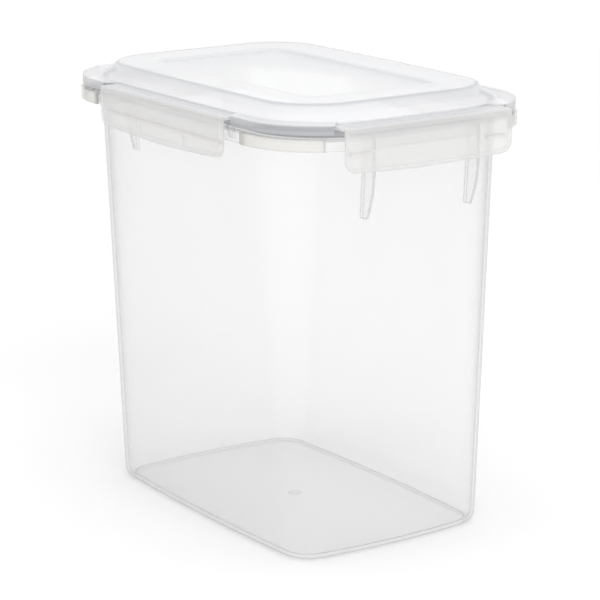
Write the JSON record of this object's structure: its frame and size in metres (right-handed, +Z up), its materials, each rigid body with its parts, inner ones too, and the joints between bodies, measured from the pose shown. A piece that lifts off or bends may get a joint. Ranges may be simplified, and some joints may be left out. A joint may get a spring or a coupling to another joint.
{
  "type": "food storage box",
  "caption": "Tall clear food storage box with a tapered tub, a raised translucent lid on a sealing ring, and a hinged latch flap on each side.",
  "frame": {"origin": "middle of the base, on the surface that the box stands on", "axes": "+X along the long side, +Y along the short side, +Z up; the front long side faces -Y"},
  "size_m": [0.2518, 0.168, 0.2422],
  "materials": {
    "tub": "clear polished plastic",
    "lid": "translucent satin plastic",
    "flap": "translucent satin plastic",
    "gasket": "matte translucent silicone"
  },
  "bodies": {
    "container": {"container": "tub"},
    "lid": {"lid": "lid", "gasket": "gasket"},
    "flap_front": {"flap_front": "flap"},
    "flap_back": {"flap_back": "flap"},
    "flap_right": {"flap_right": "flap"},
    "flap_left": {"flap_left": "flap"}
  },
  "joints": [
    {"name": "lid_lift", "type": "slide", "parent": "container", "child": "lid", "axis": [0, 0, 1], "range_m": [0, 0.08]},
    {"name": "flap_front_hinge", "type": "hinge", "parent": "lid", "child": "flap_front", "pos_m": [0, -0.0831, 0.2328], "axis": [-1, 0, 0], "range_deg": [0, 150]},
    {"name": "flap_back_hinge", "type": "hinge", "parent": "lid", "child": "flap_back", "pos_m": [0, 0.0831, 0.2328], "axis": [1, 0, 0], "range_deg": [0, 150]},
    {"name": "flap_right_hinge", "type": "hinge", "parent": "lid", "child": "flap_right", "pos_m": [0.125, 0, 0.2328], "axis": [0, -1, 0], "range_deg": [0, 150]},
    {"name": "flap_left_hinge", "type": "hinge", "parent": "lid", "child": "flap_left", "pos_m": [-0.125, 0, 0.2328], "axis": [0, 1, 0], "range_deg": [0, 150]}
  ]
}
